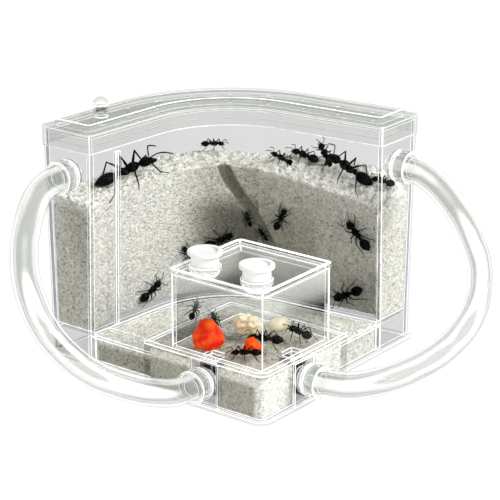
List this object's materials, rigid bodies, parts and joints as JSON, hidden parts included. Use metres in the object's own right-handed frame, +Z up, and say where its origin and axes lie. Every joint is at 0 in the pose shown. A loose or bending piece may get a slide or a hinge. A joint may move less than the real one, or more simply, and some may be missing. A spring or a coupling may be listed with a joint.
{
  "type": "ant habitat",
  "caption": "Clear nest tank with two arms round a bend, a low module with a lidded feeding box in front of it, and two clear hoses between them, shown in use with sand, ants and food.",
  "frame": {"origin": "on the table, on the underside of the base plate, below the open space inside the bend: 65 mm from the end face of the back arm and 63 mm from the end face of the left arm", "axes": "+X along the front-left face towards the front corner, +Y from there to the back, +Z up"},
  "size_m": [0.2192, 0.211, 0.1321],
  "materials": {
    "clear_acrylic": "clear, polished",
    "clear_vinyl": "clear, soft, glossy",
    "sand": "fine grey grain",
    "white_plastic": "opaque white, satin",
    "ant_shell": "black, glossy",
    "carrot": "moist orange flesh",
    "walnut": "pale, wrinkled",
    "seed": "pale, smooth"
  },
  "bodies": {
    "nest": {"base_plate": "clear_acrylic", "base_wall_front_left": "clear_acrylic", "base_wall_front_right": "clear_acrylic", "base_cover_front": "clear_acrylic", "base_cover_rear": "clear_acrylic", "plinth_wall": "clear_acrylic", "nest_floor": "clear_acrylic", "outer_wall": "clear_acrylic", "inner_wall": "clear_acrylic", "end_panel_left": "clear_acrylic", "end_panel_right": "clear_acrylic", "inner_rib": "clear_acrylic", "module_shell": "clear_acrylic", "module_window": "clear_acrylic", "duct_left": "clear_acrylic", "duct_right": "clear_acrylic", "boss_plate_left": "clear_acrylic", "boss_plate_right": "clear_acrylic", "feeding_box": "clear_acrylic", "socket_upper_left": "clear_acrylic", "socket_upper_right": "clear_acrylic", "socket_lower_left": "clear_acrylic", "socket_lower_right": "clear_acrylic", "hose_left": "clear_vinyl", "hose_right": "clear_vinyl", "collar_upper_left": "clear_vinyl", "collar_upper_right": "clear_vinyl", "collar_lower_left": "clear_vinyl", "collar_lower_right": "clear_vinyl", "base_sand": "sand", "module_sand": "sand", "nest_sand": "sand", "nest_ants": "ant_shell", "feeding_ants": "ant_shell", "carrot_large": "carrot", "carrot_small": "carrot", "walnut_kernel": "walnut", "seed_kernel": "seed"},
    "nest_lid": {"nest_lid": "clear_acrylic", "water_port": "clear_acrylic"},
    "port_stopper": {"port_stopper": "clear_acrylic"},
    "feeding_lid": {"feeding_lid": "clear_acrylic", "fill_port_left": "clear_acrylic", "fill_port_right": "clear_acrylic"},
    "plug_left": {"plug_left": "white_plastic"},
    "plug_right": {"plug_right": "white_plastic"}
  },
  "joints": [
    {"name": "nest_lid_lift", "type": "slide", "parent": "nest", "child": "nest_lid", "axis": [0, 0, 1], "range_m": [0, 0.04]},
    {"name": "port_stopper_pull", "type": "slide", "parent": "nest_lid", "child": "port_stopper", "axis": [0, 0, 1], "range_m": [0, 0.015]},
    {"name": "feeding_lid_lift", "type": "slide", "parent": "nest", "child": "feeding_lid", "axis": [0, 0, 1], "range_m": [0, 0.03]},
    {"name": "plug_left_pull", "type": "slide", "parent": "feeding_lid", "child": "plug_left", "axis": [0, 0, 1], "range_m": [0, 0.02]},
    {"name": "plug_right_pull", "type": "slide", "parent": "feeding_lid", "child": "plug_right", "axis": [0, 0, 1], "range_m": [0, 0.02]}
  ]
}
